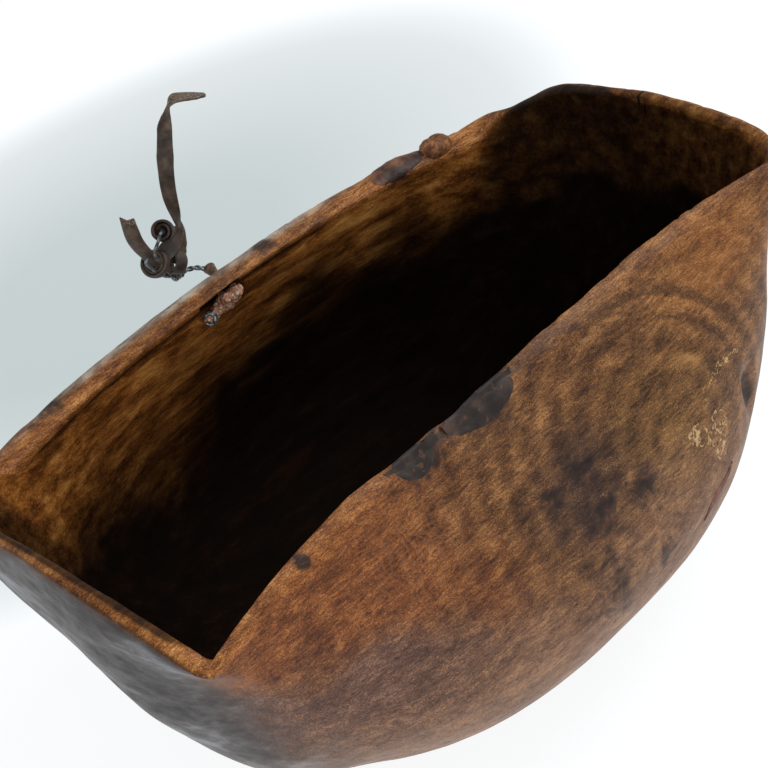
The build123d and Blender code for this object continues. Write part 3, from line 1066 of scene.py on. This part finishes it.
def strap(name, points, widths, thickness, side, material, cup=0.0, seed=0, flesh=None, torn=0.0):
    """A leather band along points, side being its width's direction; torn frays its far end."""
    points = np.asarray(points)
    ahead = directions(points)
    side = side - ahead * np.sum(side * ahead, axis=1, keepdims=True)
    side = side / np.linalg.norm(side, axis=1, keepdims=True)
    face = np.cross(ahead, side)
    turn = np.linspace(0, 2 * math.pi, STRAP_PROFILE, endpoint=False)
    across = np.sign(np.cos(turn)) * np.abs(np.cos(turn)) ** 0.55
    through = np.sign(np.sin(turn)) * np.abs(np.sin(turn)) ** 0.55
    widths = np.broadcast_to(widths, len(points))
    thick = np.broadcast_to(thickness, len(points))
    ragged = value_noise(points[:, None] + side[:, None] * across[None, :, None] * 4 * MM, 6 * MM, seed)
    reach = across * (0.5 * widths[:, None] + 0.25 * MM * ragged * np.abs(across) ** 3)
    lift = through * 0.5 * thick[:, None] + cup * (across**2) * widths[:, None]
    vertices = points[:, None] + side[:, None] * reach[..., None] + face[:, None] * lift[..., None]
    frayed = value_noise(np.stack([across, 0 * across, through * 0.3], axis=-1), 0.45, seed + 2)
    near_end = smoothstep(len(points) - 6.0, len(points) - 1.0, np.arange(len(points)))
    vertices = vertices + (torn * near_end[:, None] * frayed)[..., None] * ahead[:, None]
    rough = value_noise(vertices, 2.4 * MM, seed + 1)
    vertices = vertices + face[:, None] * (0.10 * MM * rough * np.sign(through))[..., None]
    count = len(points)
    faces = closed_faces(count, STRAP_PROFILE)
    ends = [vertices[0].mean(axis=0), vertices[-1].mean(axis=0)]
    piece = mesh_object(name, np.concatenate([vertices.reshape(-1, 3), ends]), faces, material)
    shown = np.broadcast_to(smoothstep(0.1, -0.3, through), (count, STRAP_PROFILE)).ravel()
    if flesh is not None:
        shown = np.maximum(shown, np.repeat(flesh, STRAP_PROFILE))
    attribute(piece, "flesh", np.concatenate([shown, [1.0, 1.0]]))
    edge = np.broadcast_to(np.abs(across) ** 6, (count, STRAP_PROFILE)).ravel()
    attribute(piece, "edge", np.concatenate([edge, [1.0, 1.0]]))
    return piece


# Tail of the thong, from the sleeve outward: the same points as its solid.
TAIL_ROUTE = [
    (-20.0 * MM, 125.0 * MM, 154.65 * MM),
    (-17.6 * MM, 125.0 * MM, 163.5 * MM),
    (-14.6 * MM, 125.0 * MM, 174.5 * MM),
    (-15.6 * MM, 125.0 * MM, 188.0 * MM),
    (-13.4 * MM, 125.0 * MM, 203.5 * MM),
    (-9.4 * MM, 125.0 * MM, 218.0 * MM),
    (-6.2 * MM, 125.0 * MM, 228.5 * MM),
    (0.6 * MM, 125.0 * MM, 236.0 * MM),
    (9.6 * MM, 125.0 * MM, 232.0 * MM),
    (18.2 * MM, 125.0 * MM, 227.4 * MM),
]
# Along the tail: share of its length, direction of its width in degrees, and width in mm.
TAIL_TWISTS = (
    (0.0, 150, 5.0),
    (0.05, 155, 9.6),
    (0.11, 165, 10.4),
    (0.16, 190, 7.6),
    (0.20, 215, 5.4),
    (0.25, 180, 5.6),
    (0.34, 150, 6.8),
    (0.55, 140, 7.8),
    (0.68, 152, 7.2),
    (0.76, 205, 5.6),
    (0.84, 250, 8.4),
    (0.93, 258, 7.4),
    (1.0, 260, 3.0),
)
LEATHER_THICK = 1.7 * MM


def make_tail(material):
    """The long tail: stiff leather, turned edge-on at its neck and below its curled end."""
    path = smooth_line(TAIL_ROUTE, 0.8 * MM)
    share = np.linspace(0.0, 1.0, len(path))
    path[:, 0] -= 2.4 * MM * np.exp(-(((share - 0.08) / 0.06) ** 2))
    marks, turns, widths = zip(*TAIL_TWISTS)
    angle = np.radians(np.interp(share, marks, turns))
    side = np.stack([np.cos(angle), np.sin(angle), np.zeros_like(angle)], axis=1)
    width = np.interp(share, marks, widths) * MM
    piece = strap("thong_tail_strap", path, width, LEATHER_THICK, side, material, 0.05, 21)
    belong([piece], "thong", "thong_tail")


HINGE_Y = 125 * MM
HINGE_Z = 149 * MM
BEAD_CENTRE = np.array((-25.2, 124.0, 176.5)) * MM
# The bead's axis points straight away from the viewer.
BEAD_AXIS = np.array((0.46, 0.61, -0.645))
BEAD_AXIS = BEAD_AXIS / np.linalg.norm(BEAD_AXIS)
WIRE_RADIUS = 0.80 * MM
TWIST_PITCH = 7.0 * MM
TWIST_ROUTE = (
    (-31.0 * MM, 91.6 * MM, 143.0 * MM),
    (-20.0 * MM, 100.5 * MM, 145.2 * MM),
    (-12.0 * MM, 107.0 * MM, 146.2 * MM),
    (-10.6 * MM, 116.5 * MM, 147.2 * MM),
    (-16.0 * MM, HINGE_Y, HINGE_Z),
    (-26.5 * MM, HINGE_Y, HINGE_Z),
)
# Free ends of the strands: x and z in mm in the plane of the hanger, and how far each point
# stands towards the viewer.
STRANDS = {
    "bead": ((-28.0, 153.6, 2.0), (-30.6, 159.0, 5.0), (-32.2, 164.5, 6.0), (-32.4, 168.6, 6.0),
             (-29.4, 170.2, 7.4), (-27.4, 172.8, 7.2), (-25.8, 175.5, 6.0), (-25.3, 176.3, 1.6)),
    "curled": ((-31.2, 153.0, 2.5), (-34.0, 157.6, 5.0), (-37.4, 163.6, 5.8), (-38.8, 166.6, 5.2),
               (-36.6, 167.4, 4.4)),
}


def towards_viewer(x, z, distance):
    """A place in the plane of the hanger, moved towards the viewer; all in mm."""
    return (np.array((x, 124.0, z)) - BEAD_AXIS * distance) * MM


def wound(centre, axis, radii, turns, start=0.0, lead=0.0, steps=48):
    """A coil about an axis: its points, and the axis direction at each of them."""
    axis = np.array(axis) / np.linalg.norm(axis)
    across = np.cross(axis, (0, 0, 1))
    across = across / np.linalg.norm(across)
    up = np.cross(across, axis)
    share = np.linspace(0.0, 1.0, int(steps * turns))[:, None]
    turn = start + 2 * math.pi * turns * share
    radius = radii[0] + (radii[1] - radii[0]) * share
    path = centre + radius * (across * np.cos(turn) + up * np.sin(turn)) + axis * lead * share
    return path, np.tile(axis, (len(path), 1))


def make_wire(material):
    """Two strands twisted together through the slot, parted at the leather, and the eye inside."""
    core = smooth_line(TWIST_ROUTE, 0.5 * MM)
    ahead = directions(core)
    out = carried(core, (0, 0, 1))
    up = np.cross(ahead, out)
    angle = 2 * math.pi * np.arange(len(core)) * 0.5 * MM / TWIST_PITCH
    pieces = []
    for number, (name, rest) in enumerate(STRANDS.items()):
        phase = (angle + number * math.pi)[:, None]
        strand = core + (out * np.cos(phase) + up * np.sin(phase)) * WIRE_RADIUS
        free = [strand[-1]] + [towards_viewer(*point) for point in rest]
        free = smooth_line(free, 0.5 * MM)
        line = np.concatenate([strand, free[1:]])
        for _ in range(8):
            line[1:-1] = 0.5 * line[1:-1] + 0.25 * (line[:-2] + line[2:])
        pieces.append(tube(f"wire_strand_{name}", line, WIRE_RADIUS, material))
    wrap, _ = wound(np.array((-27.0 * MM, HINGE_Y, HINGE_Z)), (1, 0, 0), (1.9 * MM, 1.9 * MM), 3.0,
                    lead=5.4 * MM)
    pieces.append(tube("wire_wrap", wrap, 0.65 * MM, material))
    eye, _ = wound(np.array((-33.0, 92.4, 142.4)) * MM, (0.55, 0.70, -0.45), (2.3 * MM, 3.0 * MM), 1.3,
                   start=-0.6, lead=1.2 * MM)
    pieces.append(tube("wire_eye", eye, WIRE_RADIUS, material))
    belong(pieces, "bowl", "tie_wire")


def lump(name, centre, radii, seed, rough, material, powers=(0.7, 0.75, 0.8), rows=60, columns=90):
    """An uneven closed lump: a squared-off ellipsoid broken up by noise."""
    rise = np.linspace(-0.5, 0.5, rows + 2)[1:-1, None] * math.pi
    turn = np.linspace(0, 2 * math.pi, columns, endpoint=False)[None, :]

    def squared(value, power):
        return np.sign(value) * np.abs(value) ** power

    unit = np.stack(
        [
            squared(np.cos(rise), powers[0]) * squared(np.cos(turn), powers[1]),
            squared(np.cos(rise), powers[0]) * squared(np.sin(turn), powers[1]),
            squared(np.sin(rise), powers[2]) + 0 * turn,
        ],
        axis=-1,
    )
    points = unit * radii + centre
    push = value_noise(points, 3.2 * MM, seed) + 0.6 * value_noise(points, 1.5 * MM, seed + 1)
    points = points + unit * (push * rough)[..., None]
    faces = closed_faces(rows, columns)
    ends = [points[0].mean(axis=0), points[-1].mean(axis=0)]
    return mesh_object(name, np.concatenate([points.reshape(-1, 3), ends]), faces, material)


# Lumps in the slot: centre, radii and roughness in mm.
CRUMBS = (
    ((-19.6, 94.4, 144.9), (5.4, 4.6, 3.8), 1.2),
    ((-14.6, 93.4, 147.0), (3.4, 3.4, 2.8), 0.9),
    ((-25.6, 94.4, 143.0), (4.2, 3.8, 2.7), 0.9),
    ((-31.4, 94.4, 141.6), (3.4, 2.8, 1.9), 0.7),
)


def make_packing(stuff, hide):
    """Crumbly packing in the slot, and the end of a roll of hide outside."""
    pieces = []
    for number, (centre, radii, rough) in enumerate(CRUMBS):
        place, size = np.array(centre) * MM, np.array(radii) * MM
        name = f"packing_crumbs_{number}"
        pieces.append(lump(name, place, size, 60 + number, rough * MM, stuff))
    route = ((-14.0, 102.0, 145.4), (-12.0, 109.0, 146.4), (-10.4, 117.0, 147.6))
    path = spaced(np.array(route) * MM, 0.6 * MM)
    share = np.linspace(0.0, 1.0, len(path))
    bulge = (2.1 + 0.9 * share**2 + 0.25 * np.sin(7.0 * share)) * MM
    pieces.append(tube("packing_stub", path, bulge, hide, sides=20))
    belong(pieces, "bowl", "slot_packing")


def make_loop(material):
    """The thong's wound disc, the ring beside it, and its short torn tail."""
    disc_centre = towards_viewer(-34.6, 164.0, -2.5)
    disc, along = wound(disc_centre, (-0.67, -0.32, 0.66), (7.0 * MM, 1.0 * MM), 3.4, start=2.2)
    disc = strap("thong_disc", disc, 4.6 * MM, 1.7 * MM, -along, material, seed=24)
    tail = [towards_viewer(*point) for point in (
        (-28.6, 153.6, 0.5), (-31.0, 157.6, 1.6), (-33.6, 163.0, 2.2), (-36.4, 169.0, 2.0),
        (-39.6, 176.4, 1.0), (-41.6, 184.6, 0.0), (-41.4, 193.2, 0.0))]
    path = smooth_line(tail, 0.7 * MM)
    share = np.linspace(0.0, 1.0, len(path))
    facing = np.array((0.66, -0.74, 0.0))
    side = np.tile(-facing, (len(path), 1))
    width = np.interp(share, (0.0, 0.2, 0.5, 0.8, 1.0), (4.0, 6.4, 7.4, 7.6, 7.0)) * MM
    flesh = smoothstep(0.90, 0.97, share)
    short = strap("thong_short_tail", path, width, LEATHER_THICK, side, material, -0.06, 23, flesh,
                  torn=2.4 * MM)
    ring_centre = towards_viewer(-23.4, 157.0, 0.0)
    ring, along = wound(ring_centre, (-0.815, 0.084, 0.567), (5.6 * MM, 4.6 * MM), 1.6, start=1.0)
    ring = strap("thong_sleeve", ring, 6.4 * MM, 1.5 * MM, -along, material, seed=25)
    turn = [towards_viewer(*point) for point in (
        (-31.5, 162.7, -0.6), (-27.5, 165.0, 0.4), (-22.5, 166.6, 0.6), (-18.5, 169.1, -0.2),
        (-15.6, 172.6, -0.8))]
    turn = smooth_line(turn, 0.7 * MM)
    across = np.tile((0.556, 0.368, 0.745), (len(turn), 1))
    width = np.interp(np.linspace(0, 1, len(turn)), (0.0, 0.5, 1.0), (7.4, 9.4, 4.8)) * MM
    turn = strap("thong_turn", turn, width, LEATHER_THICK, across, material, 0.10, 26)
    # Painted shade: the disc, the ring and the turn lie in shadow under the bead and the wires.
    for piece, painted_shade in ((disc, 0.9), (ring, 0.5), (turn, 0.6)):
        attribute(piece, "painted_shade", np.full(len(piece.data.vertices), painted_shade))
    belong([short, disc, ring, turn], "thong", "thong_loop")


def make_bead(material):
    """A bead rolled from a strip of leather, hollow towards the viewer."""
    path, along = wound(BEAD_CENTRE, BEAD_AXIS, (5.4 * MM, 1.2 * MM), 2.4, start=-1.1)
    share = np.linspace(0.0, 1.0, len(path))
    deep = smoothstep(0.50, 0.72, share)
    path = path + BEAD_AXIS * (1.9 * MM * deep)[:, None]
    width = (7.0 - 3.2 * deep) * MM
    thick = 1.9 * MM * smoothstep(-0.03, 0.10, share)
    piece = strap("leather_bead", path, width, thick, along, material, seed=27)
    core = BEAD_CENTRE + BEAD_AXIS * 1.4 * MM
    core = lump("leather_bead_core", core, np.full(3, 3.1 * MM), 73, 0.3 * MM, material, (1, 1, 1))
    attribute(core, "flesh", np.zeros(len(core.data.vertices)))
    attribute(core, "edge", np.zeros(len(core.data.vertices)))
    belong([piece, core], "bead", "bead")


# ---------------------------------------------------------------- camera, light, floor
CAMERA_PLACE = (-403.8 * MM, -519.8 * MM, 681.1 * MM)
CAMERA_AZIMUTH = 37.04
CAMERA_ELEVATION = 40.17
CAMERA_ROLL = 12.85
CAMERA_LENS = 89.05


def make_camera():
    """The camera at the viewing angle, tilted to its right."""
    data = bpy.data.cameras.new("camera")
    data.lens = CAMERA_LENS
    data.sensor_width = 36.0
    data.clip_start = 0.01
    data.clip_end = 20.0
    camera = bpy.data.objects.new("camera", data)
    bpy.context.scene.collection.objects.link(camera)
    turn = Matrix.Rotation(math.radians(-CAMERA_AZIMUTH), 3, "Z")
    tilt = Matrix.Rotation(math.radians(90.0 - CAMERA_ELEVATION), 3, "X")
    roll = Matrix.Rotation(math.radians(-CAMERA_ROLL), 3, "Z")
    camera.matrix_world = (turn @ tilt @ roll).to_4x4()
    camera.location = CAMERA_PLACE
    bpy.context.scene.camera = camera


def make_light(name, place, target, size, power):
    """A soft round light aimed at a point."""
    data = bpy.data.lights.new(name, "AREA")
    data.shape = "DISK"
    data.size = size
    data.energy = power
    light = bpy.data.objects.new(name, data)
    light.location = place
    light.rotation_euler = (Vector(target) - Vector(place)).to_track_quat("-Z", "Y").to_euler()
    bpy.context.scene.collection.objects.link(light)


# Each: name, place, size and power.
LIGHTS = (
    ("key_light", (1.15, -0.3, 1.65), 1.0, 15.0),
    ("front_light", (-0.5, -1.7, 0.9), 1.2, 8.0),
)
LIT_POINT = (0.0, 0.0, 0.1)
SKY = (0.93, 0.97, 1.0, 1.0)
SKY_STRENGTH = 0.50
FLOOR_GLOW = 0.92
FLOOR_HALF = 6.0
# The pale floor glows like a light table; its glow is greyer behind the bowl, a painted shadow.
SHADE_CENTRE = (60 * MM, 330 * MM, 0.0)
SHADE_REACH = (370 * MM, 220 * MM, 1.0)


def make_studio():
    """Pale floor, soft sky and two large lights."""
    scene = bpy.context.scene
    scene.view_settings.view_transform = "Standard"
    world = bpy.data.worlds.new("studio")
    world.use_nodes = True
    background = world.node_tree.nodes["Background"]
    background.inputs["Color"].default_value = SKY
    background.inputs["Strength"].default_value = SKY_STRENGTH
    scene.world = world
    signs = ((-1, -1), (1, -1), (1, 1), (-1, 1))
    corners = [(x * FLOOR_HALF, y * FLOOR_HALF, 0) for x, y in signs]
    s = Shader("floor_paper")
    tooth = s.noise(900.0, detail=2.0)
    glow = s.ramp(
        s.out_of(SHADE_CENTRE, SHADE_REACH, s.place),
        (0.30, 0.50, 0.70, 0.82, 0.90, 1.00),
        (180, 191, 192),
        (193, 201, 201),
        (206, 212, 213),
        (213, 218, 220),
        (226, 231, 233),
        (247, 249, 250),
    )
    s.set(s.surface.inputs["Emission Color"], glow)
    pale = s.ramp(tooth, (0.3, 0.7), (118, 120, 121), (124, 126, 127))
    paper = s.finish(pale, 0.9, s.bump(tooth, 0.02 * MM), Emission_Strength=FLOOR_GLOW)
    floor = mesh_object("floor", corners, [(0, 1, 2, 3)], paper, smooth=False)
    for name, place, size, power in LIGHTS:
        make_light(name, place, LIT_POINT, size, power)


# ---------------------------------------------------------------- build
make_camera()
make_studio()
thong_leather = leather(
    "thong_leather",
    ((44, 35, 29), (78, 63, 53), (112, 92, 76)),
    ((46, 35, 28), (92, 70, 53), (206, 178, 144)),
    0.9,
)
make_tail(thong_leather)
bead_leather = leather(
    "bead_leather",
    ((14, 10, 9), (34, 22, 19), (86, 60, 49)),
    ((34, 24, 20), (64, 46, 38), (100, 78, 64)),
    0.4,
)
make_loop(thong_leather)
make_bead(bead_leather)
make_wire(wire_metal())
make_packing(packing_stuff(), stub_hide())

smooth_grid, foot_row_count = bowl_grid()
carved_grid, grid_normal, grid_masks = carve(smooth_grid, foot_row_count)
inside_row = foot_row_count + OUTER_ROWS + RIM_ROWS
dull_wood = bowl_wood("bowl_wood_inside", 0.03)
bowl = make_bowl(carved_grid, inside_row, bowl_wood("bowl_wood", 0.18), dull_wood)
bowl_masks(bowl, smooth_grid, grid_normal, grid_masks)
belong([bowl], "bowl", "bowl")
make_repairs(carved_grid, grid_normal, pitch())
make_knot(knot_wood())
make_split(carved_grid, red_filler())
